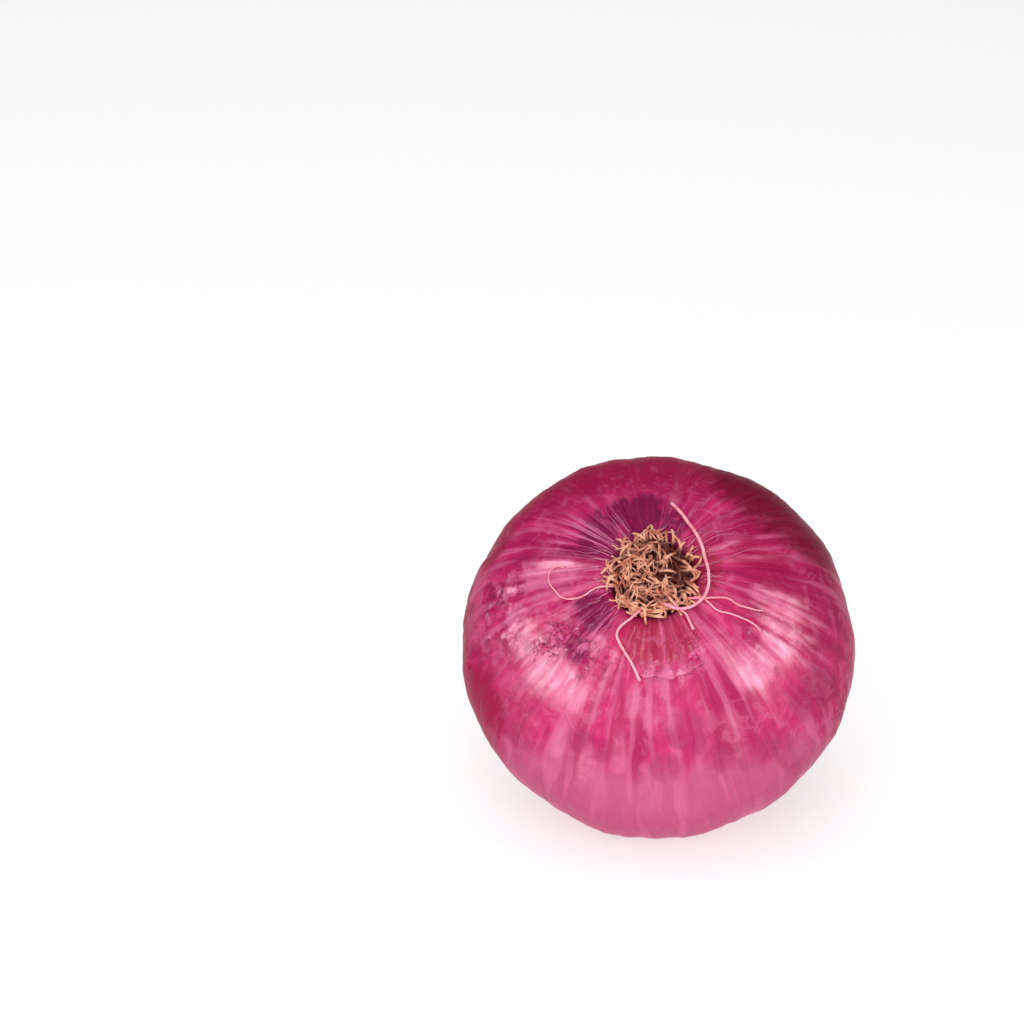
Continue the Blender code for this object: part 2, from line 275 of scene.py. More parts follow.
def ellipse_arc(height, start, end, steps, fullness=2.0):
    angles = [start + (end - start) * i / steps for i in range(steps)]
    return [ellipse_point(height, angle, fullness) for angle in angles]


def pit_outline():
    lip = (LIP_RADIUS, LIP_HEIGHT)
    wall_foot = (PIT_RADIUS, PIT_FLOOR + 0.4 * PIT_DEPTH)
    wall_top = (PIT_RADIUS, PIT_FLOOR + PIT_DEPTH)
    lip_start = (0.82 * LIP_RADIUS, LIP_HEIGHT + 0.4 * MM)
    floor = [(0.0, PIT_FLOOR), (0.6 * PIT_RADIUS, PIT_FLOOR), (0.97 * PIT_RADIUS, PIT_FLOOR)]
    return floor + bezier(wall_foot, wall_top, lip_start, lip, CURVE_STEPS)


def stump_outline():
    waist = ellipse_point(BASE_HEIGHT, BELLY_END, BELLY_FULLNESS)
    stump = (STUMP_RADIUS, STUMP_END)
    drawn_in = (12.0 * MM, STUMP_END + 3.1 * MM)
    drawn_out = (6.9 * MM, STUMP_END + 2.8 * MM)
    rim = (0.72 * STUMP_RADIUS, STUMP_FACE)
    return bezier(waist, drawn_in, drawn_out, stump, CURVE_STEPS) + [stump, rim, (0.0, STUMP_FACE)]


def bulb_outline():
    crown = ellipse_arc(CROWN_HEIGHT, LIP_ANGLE, math.pi / 2, CROWN_STEPS)
    belly = ellipse_arc(BASE_HEIGHT, math.pi / 2, BELLY_END, BELLY_STEPS, BELLY_FULLNESS)
    return pit_outline() + crown + belly + stump_outline()


print("the outline has", len(bulb_outline()), "points")

# %% Turn an outline
def turned(outline, sides):
    mesh = bmesh.new()
    line = [mesh.verts.new((radius, 0, height)) for radius, height in outline]
    edges = [mesh.edges.new(pair) for pair in zip(line, line[1:])]
    bmesh.ops.spin(
        mesh, geom=line + edges, cent=(0, 0, 0), axis=(0, 0, 1),
        angle=math.tau, steps=sides, use_merge=True,
    )
    bmesh.ops.remove_doubles(mesh, verts=mesh.verts[:], dist=1e-6)
    bmesh.ops.recalc_face_normals(mesh, faces=mesh.faces[:])
    return mesh


# %% [markdown]
# ## Places on the skin
#
# A place on the skin is named by two angles, as on a globe: one round the axis, counted from the
# right, and one down from the root end. The skin isn't the same all over: it is dull purple beside
# the roots, crimson behind, pale in long streaks, and crinkled where it has come loose. Some patches
# are partly painted light and shade: the crimson on top and at the left is partly painted shade,
# the dark upper right is all painted shade, the paler belly is partly painted light from the floor,
# and the two broad pale patches beside the roots are partly painted highlight. Each such patch is a
# few numbers here. Its strength is kept on the vertices, where both the relief and the colours can
# read it. A picture would do this too, but a few soft ovals are easier to change.

# %% Patches on the skin
# For each kind, rows: angle round the axis, angle from the root end, half its width and half its
# length, all in degrees, and its strength
PATCHES = {
    "purple": (
        (100, 20, 34, 14, 1.0), (140, 19, 30, 12, 0.9), (72, 17, 24, 10, 0.7),
        (-148, 20, 28, 8, 0.9), (-136, 31, 13, 7, 0.6), (126, 24, 20, 10, 0.7),
    ),
    "veined": (
        (146, 24, 24, 17, 1.0), (-140, 22, 22, 9, 0.8),
    ),
    # Deep crimson on the skin: partly its own colour, partly painted shade on the top and at the
    # left side
    "deep_and_painted_shade": (
        (90, 62, 80, 46, 1.0), (151, 66, 17, 17, 0.9), (14, 34, 34, 16, 0.6),
        (-157, 72, 20, 15, 1.0), (178, 84, 24, 26, 0.8), (-158, 92, 18, 26, 0.9),
    ),
    # The dark upper right is painted shade
    "painted_shade": (
        (42, 60, 44, 36, 1.0),
    ),
    "rich": (
        (-80, 47, 13, 9, 0.9), (-88, 60, 9, 9, 0.6), (-112, 56, 16, 7, 0.8), (-77, 52, 8, 7, 0.9),
        (-70, 60, 8, 10, 0.7), (-58, 66, 14, 8, 0.7), (-32, 62, 18, 12, 0.6),
        (-140, 68, 14, 9, 0.6),
    ),
    # The paler belly, which faces the floor, is partly the skin's own colour and partly painted
    # light
    "belly": (
        (-90, 88, 78, 42, 1.0),
    ),
    # The pale streaks are the skin's own; the broad pale patches beside the roots, where the
    # softboxes show, are partly painted highlight
    "pale": (
        (-139, 43, 27, 12, 0.8), (-165, 44, 18, 9, 0.7), (-22, 42, 26, 11, 0.7),
        (-8, 34, 15, 10, 0.6), (-41, 41, 18, 9, 0.9), (-90, 42, 18, 11, 0.4), (-128, 26, 9, 6, 0.5),
        (-44, 39, 15, 9, 0.6), (-100, 38, 6, 9, 0.75), (-113, 64, 5, 15, 0.6),
        (-124, 60, 5, 12, 0.5), (-103, 56, 5, 14, 0.5), (-94, 70, 4, 18, 0.5),
        (-62, 56, 7, 18, 0.45), (172, 31, 24, 17, 0.8), (-86, 34, 7, 8, 0.5),
    ),
    "brown": (
        (5, 14, 50, 9, 0.8), (-86, 20, 46, 11, 0.9),
    ),
    "crinkle": (
        (-68, 27, 22, 9, 0.8), (-144, 33, 34, 17, 1.0), (-176, 50, 27, 17, 0.8),
        (-120, 30, 14, 10, 0.6), (-92, 24, 26, 10, 0.6), (-25, 36, 30, 12, 0.35),
        (90, 38, 50, 10, 0.25),
    ),
    "collar": (
        (0, 0, 9999, 52, 1.0),
    ),
}


def smoothstep(low, high, value):
    share = min(1.0, max(0.0, (value - low) / (high - low)))
    return share * share * (3 - 2 * share)


def direction(angle):
    return Vector((math.cos(angle), math.sin(angle)))


def from_root_end(radius, height):
    """The angle down from the root end, in degrees, of a place on the turned outline."""
    half = CROWN_HEIGHT if height > 0 else BASE_HEIGHT
    return math.degrees(math.atan2(radius / BULB_RADIUS, height / half))


def patch_strengths(round_axis, down):
    """How strong each kind of patch is at a place, given in degrees."""
    found = dict.fromkeys(PATCHES, 0.0)
    for kind, rows in PATCHES.items():
        for middle, depth, across, along, strength in rows:
            aside = (round_axis - middle + 180) % 360 - 180
            far = math.hypot(aside / across, (down - depth) / along)
            if far < 1:
                found[kind] = max(found[kind], strength * smoothstep(1.0, 0.3, far))
    return found


print("beside the roots:", patch_strengths(105, 20))

# %% [markdown]
# ## The relief
#
# The body is not a perfect turned form. Low lumps and long ribs follow the scales below, and the
# skin gathers in wrinkles round the roots: these are the solid's own, with its ribs a little lower.
# Thin meridian veins, gathers at the roots, and a crinkle where the skin is loose, come on top.
# Displacing the vertices along their normals gives real highlights and shadows, which a bump on the
# material alone wouldn't at the outline.

# %% Relief of the skin
LUMP_RISE = 0.9 * MM
LUMPS_ACROSS = 1.25
RIBS = 13
RIB_RISE = 0.18 * MM
WRINKLES = 23
WRINKLE_RISE = 0.24 * MM
VEINS_ACROSS = 12
VEIN_RISE = 0.24 * MM
GATHERS_ACROSS = 9
GATHER_RISE = 0.42 * MM
CRINKLE_RISE = 0.32 * MM
CRINKLE_SIZE = 2.3 * MM


def relief(angle, radius, height):
    """How far the skin stands out from the turned outline: the solid's lumps, ribs and wrinkles."""
    place = Vector((math.cos(angle), math.sin(angle), height / BULB_RADIUS))
    belly = smoothstep(9 * MM, 24 * MM, radius)
    lump = noise.noise(place * LUMPS_ACROSS + Vector((3.1, 0.7, 5.2))) * LUMP_RISE * belly
    drift = 0.30 * math.sin(2 * angle + 1.0) + 0.18 * math.sin(5 * angle + 2.1 + height / (9 * MM))
    rib = math.cos(RIBS * angle + 2.4 * drift) * RIB_RISE * belly
    collar = smoothstep(8.6 * MM, 11 * MM, radius) * (1 - smoothstep(14 * MM, 24 * MM, radius))
    uneven = 0.6 + 0.9 * noise.noise(place * 4.0)
    strength = collar * uneven * (1.0 if height > 0 else 0.5)
    wrinkle = math.cos(WRINKLES * angle + 3.0 * drift) * WRINKLE_RISE * strength
    return lump + rib + wrinkle


def crease(place):
    """A crinkled value from 0 to 1, with sharp folds where noise changes sign."""
    return 1 - 2.2 * abs(noise.noise(place))


def fine_relief(angle, radius, height, crinkled):
    """What the finer skin has on top: veins, gathers by the roots and crinkles."""
    round_axis = direction(angle)
    belly = smoothstep(10 * MM, 20 * MM, radius)
    vein = noise.noise(Vector((*round_axis * VEINS_ACROSS, height / (11 * MM))))
    vein += 0.5 * noise.noise(Vector((*round_axis * VEINS_ACROSS * 2.3, height / (6 * MM))))
    vein *= VEIN_RISE * belly
    collar = smoothstep(8.6 * MM, 10.5 * MM, radius) * (1 - smoothstep(15 * MM, 27 * MM, radius))
    gathered = Vector((*round_axis * GATHERS_ACROSS, height / (5 * MM)))
    gather = noise.noise(gathered) * GATHER_RISE * collar
    spot = Vector((*(round_axis * radius), height)) / CRINKLE_SIZE
    fold = (crease(spot) + 0.5 * crease(spot * 2.3) - 0.9) * CRINKLE_RISE * crinkled
    return vein + gather + fold


# %% Neck bend
NECK_BEND_START = -33.5 * MM
NECK_BEND = 0.008 / MM


def neck_bend(height):
    """How far the neck gives way sideways under the bulb."""
    below = max(0.0, NECK_BEND_START - height)
    return below * below * NECK_BEND


# %% Turn the bulb and raise its relief
BULB_SIDES = 420


def shape_skin(mesh):
    """Keeps every vertex's patches on it, and moves it out by its relief."""
    layers = {kind: mesh.verts.layers.float.new(kind) for kind in PATCHES}
    mesh.normal_update()
    normals = [vertex.normal.copy() for vertex in mesh.verts]
    for vertex, normal in zip(mesh.verts, normals):
        radius = vertex.co.xy.length
        height = vertex.co.z
        if radius > 0.1 * MM:
            angle = math.atan2(vertex.co.y, vertex.co.x)
            found = patch_strengths(math.degrees(angle), from_root_end(radius, height))
            for kind in PATCHES:
                vertex[layers[kind]] = found[kind]
            rise = relief(angle, radius, height)
            rise += fine_relief(angle, radius, height, found["crinkle"])
            vertex.co += normal * rise
        vertex.co.y += neck_bend(height)


bulb_mesh = turned(bulb_outline(), BULB_SIDES)
shape_skin(bulb_mesh)
lay_down(bulb_mesh)
print("the bulb has", len(bulb_mesh.verts), "vertices")

# %% [markdown]
# ## Node helpers
#
# A material is a network of nodes. A few more helpers keep the networks short: they calculate, mix
# two colours, and make speckles. All patterns read the object's own coordinates, which a Mapping
# node turns back to the upright onion, in millimetres.

# %% More node helpers
def maths(tree, operation, first, second=0.0):
    return add_node(tree, "ShaderNodeMath", {0: first, 1: second}, operation=operation).outputs[0]


def vector_maths(tree, operation, inputs, output="Vector"):
    return add_node(tree, "ShaderNodeVectorMath", inputs, operation=operation).outputs[output]


def share_of(tree, mask, amount):
    return maths(tree, "MULTIPLY", mask, amount)


def mixed(tree, share, first, second):
    inputs = {0: share, 6: first, 7: second}
    return add_node(tree, "ShaderNodeMix", inputs, data_type="RGBA").outputs[2]


def layer(tree, colour, mask, amount, over):
    """Lays a second colour over a first where a mask says, and at most by an amount."""
    return mixed(tree, share_of(tree, mask, amount), colour, over)


def speckle(tree, place, size, detail=3.0, swirl=0.0):
    """Noise with blotches of about a size in millimetres, which a swirl draws out."""
    inputs = {"Vector": place, "Scale": 0.5 / size, "Detail": detail}
    inputs.update({"Roughness": 0.55, "Distortion": swirl})
    return add_node(tree, "ShaderNodeTexNoise", inputs).outputs["Fac"]


def attribute(tree, name):
    return add_node(tree, "ShaderNodeAttribute", attribute_name=name).outputs["Fac"]


def onion_place(tree):
    """The place on the upright onion, in millimetres."""
    coordinates = add_node(tree, "ShaderNodeTexCoord").outputs["Object"]
    inputs = {"Vector": coordinates, "Location": EQUATOR_CENTRE, "Rotation": AXIS}
    inputs["Scale"] = (MM, MM, MM)
    return add_node(tree, "ShaderNodeMapping", inputs, vector_type="TEXTURE").outputs["Vector"]


def feed(tree, shader, colour, roughness, height, depth):
    """Joins a colour, a roughness and a height to a shader. The height's depth is in metres."""
    bump = add_node(tree, "ShaderNodeBump", {"Height": height, "Distance": depth, "Strength": 1.0})
    tree.links.new(colour, shader.inputs["Base Color"])
    tree.links.new(roughness, shader.inputs["Roughness"])
    tree.links.new(bump.outputs["Normal"], shader.inputs["Normal"])


# %% [markdown]
# ## Streaks along the meridians
#
# Everything on an onion runs from the roots to the neck: veins, stripes of colour, dry folds. So
# one pattern serves the skin, its loose flakes and the dry neck. It is noise on the direction round
# the axis, which gives streaks that draw together at both poles, as real veins do. It is built
# once, as a node group. Each use of it says how many streaks there are round the onion, how often
# they change along it, how much they wander, and how much detail they have.

# %% Streaks, a node group
def new_group(name, inputs, output):
    """An empty group with its inputs, given as names and kinds, and one output value."""
    group = bpy.data.node_groups.new(name, "ShaderNodeTree")
    for title, kind in inputs:
        group.interface.new_socket(name=title, in_out="INPUT", socket_type=kind)
    group.interface.new_socket(name=output, in_out="OUTPUT", socket_type="NodeSocketFloat")
    start = group.nodes.new("NodeGroupInput")
    end = group.nodes.new("NodeGroupOutput")
    return group, start, end


def make_streaks_group():
    inputs = [("Place", "NodeSocketVector")]
    inputs += [(title, "NodeSocketFloat") for title in ("Around", "Along", "Wander", "Detail")]
    group, start, end = new_group("meridian_streaks", inputs, "Streak")
    place = start.outputs["Place"]
    flat = vector_maths(group, "MULTIPLY", {0: place, 1: (1, 1, 0)})
    outward = vector_maths(group, "NORMALIZE", {0: flat})
    radius = vector_maths(group, "LENGTH", {0: flat}, "Value")
    height = add_node(group, "ShaderNodeSeparateXYZ", {0: place}).outputs["Z"]
    scaled = maths(group, "MULTIPLY", height, BULB_RADIUS / CROWN_HEIGHT)
    down = maths(group, "ARCTAN2", radius, scaled)
    drift = add_node(group, "ShaderNodeTexNoise", {"Vector": place, "Scale": 0.06, "Detail": 2.0})
    centred = vector_maths(group, "SUBTRACT", {0: drift.outputs["Color"], 1: (0.5, 0.5, 0.5)})
    moved = vector_maths(group, "SCALE", {0: centred, "Scale": start.outputs["Wander"]})
    wandering = vector_maths(group, "ADD", {0: outward, 1: moved})
    around = vector_maths(group, "SCALE", {0: wandering, "Scale": start.outputs["Around"]})
    parts = add_node(group, "ShaderNodeSeparateXYZ", {0: around})
    along = maths(group, "MULTIPLY", down, start.outputs["Along"])
    corners = {"X": parts.outputs["X"], "Y": parts.outputs["Y"], "Z": along}
    joined = add_node(group, "ShaderNodeCombineXYZ", corners).outputs[0]
    finish = {"Vector": joined, "Scale": 1.0, "Detail": start.outputs["Detail"]}
    streak = add_node(group, "ShaderNodeTexNoise", finish)
    group.links.new(streak.outputs["Fac"], end.inputs["Streak"])
    return group


STREAKS = make_streaks_group()


def streaks(tree, place, around, along, wander, detail=2.5):
    inputs = {"Place": place, "Around": around, "Along": along, "Wander": wander, "Detail": detail}
    return add_node(tree, "ShaderNodeGroup", inputs, node_tree=STREAKS).outputs["Streak"]


print("the streaks group has", len(STREAKS.nodes), "nodes")

# %% [markdown]
# ## Papery grain
#
# Under a lens, dry onion skin is a sheet of long thin cells, and dry roots and leaves have much the
# same grain. A group makes it from fine streaks and a small speckle. Every dry material puts a
# little of it into its height, where it breaks the highlights.

# %% Papery grain, a node group
def make_grain_group():
    inputs = [("Place", "NodeSocketVector"), ("Size", "NodeSocketFloat")]
    group, start, end = new_group("papery_grain", inputs, "Height")
    place = start.outputs["Place"]
    cells = streaks(group, place, 190.0, 34.0, 0.05)
    scale = maths(group, "DIVIDE", 0.5, start.outputs["Size"])
    grain = add_node(group, "ShaderNodeTexNoise", {"Vector": place, "Scale": scale, "Detail": 4.0})
    height = maths(group, "ADD", maths(group, "MULTIPLY", cells, 0.5), grain.outputs["Fac"])
    group.links.new(height, end.inputs["Height"])
    return group


GRAIN = make_grain_group()


def papery_grain(tree, place, size):
    inputs = {"Place": place, "Size": size}
    return add_node(tree, "ShaderNodeGroup", inputs, node_tree=GRAIN).outputs["Height"]


# %% [markdown]
# ## The skin's finish
#
# The skin is satin: a dull layer under a faint coat, which is glossy only in patches. Its colour is
# laid in layers, each mixed in by a mask: magenta and a deeper magenta in broad clouds, the paler
# belly, pale columns, and then the patches that the vertices carry. Some of these are partly painted
# light: the paler belly holds painted light from the floor, the pale patches beside the roots a
# painted highlight, and the crimson patches painted shade; the dark upper right is painted shade
# alone. Ragged noise on each patch's strength keeps its edge from looking like an oval. Fine veins
# come on top, and where the skin is loose, cracks and flecks.

# %% Colours of the skin
MAGENTA = (0.52, 0.026, 0.130, 1)
DEEP_MAGENTA = (0.36, 0.012, 0.082, 1)
# Pale pink on the belly, partly the skin's own and partly painted light from the floor
BELLY_PINK_AND_PAINTED_LIGHT = (0.49, 0.086, 0.196, 1)
# The skin's own pale pink, which in the broad pale patches beside the roots is partly painted
# highlight
PALE_PINK = (0.63, 0.13, 0.27, 1)
DARK_VEIN = (0.24, 0.006, 0.045, 1)
# Crimson, partly the skin's own and partly painted shade on the top and at the left
CRIMSON = (0.33, 0.007, 0.058, 1)
RICH_MAGENTA = (0.32, 0.012, 0.082, 1)
# A painted shade, for the upper right
PAINTED_SHADE_CRIMSON = (0.17, 0.005, 0.026, 1)
PURPLE = (0.16, 0.006, 0.050, 1)
LILAC = (0.64, 0.16, 0.33, 1)
FLECK = (0.80, 0.34, 0.48, 1)
RUSSET = (0.32, 0.014, 0.042, 1)
DRY_TAN = (0.42, 0.16, 0.11, 1)
# Where the skin starts to be dry and where it all is, in mm under the equator
DRY_FROM = -27.0
DRY_BELOW = -37.0
SKIN_BUMP = 0.4 * MM


def ragged(tree, strength, noise_value, amount=0.9):
    """A patch's strength with a torn edge instead of a smooth one, and nothing outside it."""
    shift = maths(tree, "MULTIPLY", maths(tree, "SUBTRACT", noise_value, 0.5), 2 * amount)
    torn = maths(tree, "MULTIPLY", strength, maths(tree, "ADD", 1.0, shift))
    return soft_mask(tree, torn, 0.15, 0.80)


def patch(tree, kind, noise_value, amount=0.9):
    return ragged(tree, attribute(tree, kind), noise_value, amount)


def both(tree, first, second):
    return maths(tree, "MULTIPLY", first, second)


def crack_lines(tree, noise_value, width):
    """1 along the lines where a noise passes its middle, 0 beside them."""
    aside = maths(tree, "ABSOLUTE", maths(tree, "SUBTRACT", noise_value, 0.5))
    return soft_mask(tree, aside, width, 0.0)


def skin_colour(tree, place):
    cloud = speckle(tree, place, 7.0, 4.0)
    mottle = speckle(tree, place, 2.2, 4.0, 1.2)
    broad = streaks(tree, place, 6.0, 1.2, 0.25, 1.5)
    columns = streaks(tree, place, 14.0, 1.3, 0.10, 1.0)
    blots = streaks(tree, place, 13.0, 6.0, 0.30, 4.0)
    tone = maths(tree, "ADD", share_of(tree, cloud, 0.5), share_of(tree, broad, 0.5))
    colour = mixed(tree, soft_mask(tree, tone, 0.42, 0.58), DEEP_MAGENTA, MAGENTA)
    colour = layer(tree, colour, soft_mask(tree, blots, 0.52, 0.64), 0.35, DEEP_MAGENTA)
    colour = layer(tree, colour, soft_mask(tree, mottle, 0.48, 0.38), 0.30, DEEP_MAGENTA)
    colour = layer(tree, colour, soft_mask(tree, mottle, 0.50, 0.62), 0.30, PALE_PINK)
    # Painted light in part: the belly is paler where it faces the floor
    colour = layer(tree, colour, patch(tree, "belly", broad), 0.85, BELLY_PINK_AND_PAINTED_LIGHT)
    colour = layer(tree, colour, soft_mask(tree, columns, 0.52, 0.68), 0.50, PALE_PINK)
    columned = maths(tree, "ADD", share_of(tree, columns, 0.6), share_of(tree, mottle, 0.4))
    colour = layer(tree, colour, patch(tree, "rich", columned, 2.4), 0.55, RICH_MAGENTA)
    # Pale patches, partly painted highlight beside the roots
    colour = layer(tree, colour, patch(tree, "pale", columned, 1.8), 0.80, PALE_PINK)
    # Crimson patches, partly painted shade on the top and at the left
    colour = layer(tree, colour, patch(tree, "deep_and_painted_shade", blots, 1.4), 0.90, CRIMSON)
    # Painted shade at the upper right
    colour = layer(tree, colour, patch(tree, "painted_shade", blots), 0.85, PAINTED_SHADE_CRIMSON)
    torn = streaks(tree, place, 20.0, 3.0, 0.15, 4.0)
    colour = layer(tree, colour, patch(tree, "brown", torn, 2.0), 0.75, RUSSET)
    blotched = maths(tree, "ADD", share_of(tree, torn, 0.45), share_of(tree, mottle, 0.55))
    colour = layer(tree, colour, patch(tree, "purple", blotched, 2.0), 0.92, PURPLE)
    return crinkled_colour(tree, place, veined_colour(tree, place, colour))


def veined_colour(tree, place, colour):
    """Lilac ridges and purple grooves beside the roots, and fine veins all over."""
    ridges = streaks(tree, place, 24.0, 1.6, 0.05, 2.0)
    veined = attribute(tree, "veined")
    ridge = both(tree, veined, soft_mask(tree, ridges, 0.50, 0.62))
    groove = both(tree, veined, soft_mask(tree, ridges, 0.48, 0.38))
    colour = layer(tree, layer(tree, colour, ridge, 0.7, LILAC), groove, 0.8, PURPLE)
    fine = streaks(tree, place, 40.0, 2.0, 0.04)
    near = maths(tree, "ADD", 0.07, share_of(tree, attribute(tree, "collar"), 0.10))
    colour = layer(tree, colour, soft_mask(tree, fine, 0.44, 0.30), near, DARK_VEIN)
    return layer(tree, colour, soft_mask(tree, fine, 0.55, 0.72), near, LILAC)


def crack_mask(tree, place):
    """Dark broken cracks where the skin is loose."""
    crumple = speckle(tree, place, 1.8, 4.0, 1.5)
    broken = soft_mask(tree, speckle(tree, place, 2.6), 0.47, 0.58)
    loose = both(tree, attribute(tree, "crinkle"), broken)
    return both(tree, loose, crack_lines(tree, crumple, 0.055))


def crinkled_colour(tree, place, colour):
    """Where the skin is loose: lilac blotches, dark broken cracks and pale flecks."""
    loose = attribute(tree, "crinkle")
    blotches = soft_mask(tree, speckle(tree, place, 1.8, 4.0, 1.5), 0.54, 0.66)
    colour = layer(tree, colour, both(tree, loose, blotches), 0.45, LILAC)
    colour = layer(tree, colour, crack_mask(tree, place), 0.85, PURPLE)
    flecks = soft_mask(tree, speckle(tree, place, 1.1, 5.0), 0.62, 0.68)
    return layer(tree, colour, both(tree, loose, flecks), 0.50, FLECK)


def skin_coat(tree, place):
    """Patchy gloss on skin that faces the viewer, little at its edge, none where it is deep red,
    painted shade or purple.
    """
    facing = add_node(tree, "ShaderNodeLayerWeight", {"Blend": 0.5}).outputs["Facing"]
    front = soft_mask(tree, facing, 0.62, 0.30)
    rim = share_of(tree, soft_mask(tree, facing, 0.80, 0.97), 0.6)
    dull = share_of(tree, crack_mask(tree, place), 0.8)
    for kind in ("deep_and_painted_shade", "painted_shade", "purple"):
        dull = maths(tree, "MAXIMUM", dull, attribute(tree, kind))
    shiny = maths(tree, "ADD", 0.4, share_of(tree, attribute(tree, "pale"), 0.75))
    gloss = both(tree, shiny, maths(tree, "SUBTRACT", 1.0, dull))
    clouds = soft_mask(tree, speckle(tree, place, 3.0, 4.0, 0.8), 0.40, 0.60)
    lines = soft_mask(tree, streaks(tree, place, 20.0, 3.0, 0.12, 3.0), 0.40, 0.60)
    patchy = maths(tree, "ADD", 0.25, share_of(tree, maths(tree, "ADD", clouds, lines), 0.45))
    return both(tree, patchy, both(tree, maths(tree, "MAXIMUM", front, rim), gloss))


def skin_height(tree, place):
    """The height that the bump reads: veins, folds where the skin is loose, lumps and grain."""
    crumple = maths(tree, "SUBTRACT", speckle(tree, place, 1.5, 4.0, 1.5), 0.5)
    folds = share_of(tree, maths(tree, "ABSOLUTE", crumple), 1.6)
    folds = both(tree, folds, attribute(tree, "crinkle"))
    veins = share_of(tree, streaks(tree, place, 30.0, 3.0, 0.06), 0.9)
    lumps = share_of(tree, speckle(tree, place, 2.6, 4.0, 0.8), 0.45)
    grain = share_of(tree, papery_grain(tree, place, 0.25), 0.12)
    return maths(tree, "ADD", maths(tree, "ADD", maths(tree, "ADD", veins, folds), lumps), grain)


def skin_material():
    made, tree, shader = new_material("onion_skin")
    place = onion_place(tree)
    height = add_node(tree, "ShaderNodeSeparateXYZ", {0: place}).outputs["Z"]
    near_neck = soft_mask(tree, height, DRY_FROM, DRY_BELOW)
    dry = ragged(tree, near_neck, streaks(tree, place, 24.0, 2.0, 0.1), 1.2)
    colour = mixed(tree, dry, skin_colour(tree, place), DRY_TAN)
    specks = soft_mask(tree, speckle(tree, place, 0.8, 2.0), 0.76, 0.82)
    colour = layer(tree, colour, specks, 0.6, DARK_VEIN)
    dull = maths(tree, "MAXIMUM", attribute(tree, "purple"), attribute(tree, "brown"))
    roughness = maths(tree, "ADD", 0.36, share_of(tree, maths(tree, "MAXIMUM", dull, dry), 0.22))
    feed(tree, shader, colour, roughness, skin_height(tree, place), SKIN_BUMP)
    tree.links.new(skin_coat(tree, place), shader.inputs["Coat Weight"])
    shader.inputs["Coat Roughness"].default_value = 0.28
    shader.inputs["Coat IOR"].default_value = 1.55
    shader.inputs["Specular IOR Level"].default_value = 0.018
    return made


SKIN = skin_material()
as_piece("skin_and_body", bulb_mesh, SKIN, "bulb")

# %% [markdown]
# ## Flakes of loose skin
#
# The outermost skin is brittle. It has torn below the roots, it peels at the left, and it has come
# loose in places behind. A flake is a grid laid over the skin, with a wavy outline and one lifted
# edge, given a real thickness. It takes the skin's own material, which follows it without a seam.

# %% Places over the skin
def skin_place(round_axis, down, lift):
    """A point over the raised skin, from its two angles in degrees."""
    polar = math.radians(down)
    angle = math.radians(round_axis)
    half, fullness = (BASE_HEIGHT, BELLY_FULLNESS)
    if down < 90:
        half, fullness = (CROWN_HEIGHT, 2.0)
    radius, height = ellipse_point(half, polar, fullness)
    normal = Vector((radius / BULB_RADIUS**2, height / half**2)).normalized()
    crinkled = patch_strengths(round_axis, down)["crinkle"]
    rise = lift + relief(angle, radius, height) + fine_relief(angle, radius, height, crinkled)
    over = direction(angle) * (radius + normal.x * rise)
    return Vector((over.x, over.y, height + normal.y * rise))


print("straight down the front, the skin is at", skin_place(-90, 45, 0))

# %% Flakes
FLAKE_THICKNESS = 0.09 * MM
FLAKE_CELLS = 26
# Angle round the axis, angle down from the roots, half its width, half its length, lift in mm, seed
FLAKES = (
    (-84, 28, 26, 3.0, 0.7, 1),
    (-167, 67, 4, 5, 1.0, 2),
    (175, 42, 9, 6, 0.7, 3),
    (-151, 38, 4, 2.5, 0.3, 4),
    (118, 100, 10, 13, 0.8, 6),
    (75, 125, 12, 11, 0.9, 7),
    (150, 128, 10, 12, 0.7, 8),
)


def thicken(mesh, thickness):
    """Makes a sheet a closed shell: a copy, moved along the normals, joined to it at its edge."""
    bmesh.ops.recalc_face_normals(mesh, faces=mesh.faces[:])
    grown = bmesh.ops.extrude_face_region(mesh, geom=mesh.faces[:], use_keep_orig=True)["geom"]
    copies = [item for item in grown if isinstance(item, bmesh.types.BMVert)]
    for vertex, normal in [(vertex, vertex.normal.copy()) for vertex in copies]:
        vertex.co += normal * thickness
    bmesh.ops.recalc_face_normals(mesh, faces=mesh.faces[:])


def flake(round_axis, down, across, along, lift, seed):
    """A thin ragged sheet on the skin, whose lower edge curls up."""
    mesh = bmesh.new()
    bmesh.ops.create_grid(mesh, x_segments=FLAKE_CELLS, y_segments=FLAKE_CELLS, size=1.0)
    layers = {kind: mesh.verts.layers.float.new(kind) for kind in PATCHES}
    for vertex in mesh.verts:
        flat = Vector((vertex.co.x, vertex.co.y, seed * 7.3))
        edge = 1 + 0.40 * noise.noise(flat * 1.4) + 0.35 * noise.noise(flat * 4)
        aside = vertex.co.x * (1 - 0.35 * vertex.co.y**2) * edge
        under = vertex.co.y * (1 - 0.30 * vertex.co.x**2) * edge
        free = smoothstep(-0.5, 1.0, vertex.co.y) * (1 - 0.85 * vertex.co.x**2)
        rise = (-0.14 + (0.14 + lift) * free + 0.12 * free * noise.noise(flat * 2.6)) * MM
        turn, depth = round_axis + aside * across, down + under * along
        found = patch_strengths(turn, depth)
        found["pale"] = max(found["pale"], 0.8 * free)
        for kind in PATCHES:
            vertex[layers[kind]] = found[kind]
        vertex.co = skin_place(turn, depth, rise)
    thicken(mesh, FLAKE_THICKNESS)
    lay_down(mesh)
    return mesh


for number, row in enumerate(FLAKES, start=1):
    as_piece(f"skin_flake_{number}", flake(*row), SKIN)

# %% [markdown]
# ## The basal plate
#
# The roots grow on a hard round plate, the bulb's real stem. It is a low dome, turned as the body
# is. Hardly any of it shows through the roots.

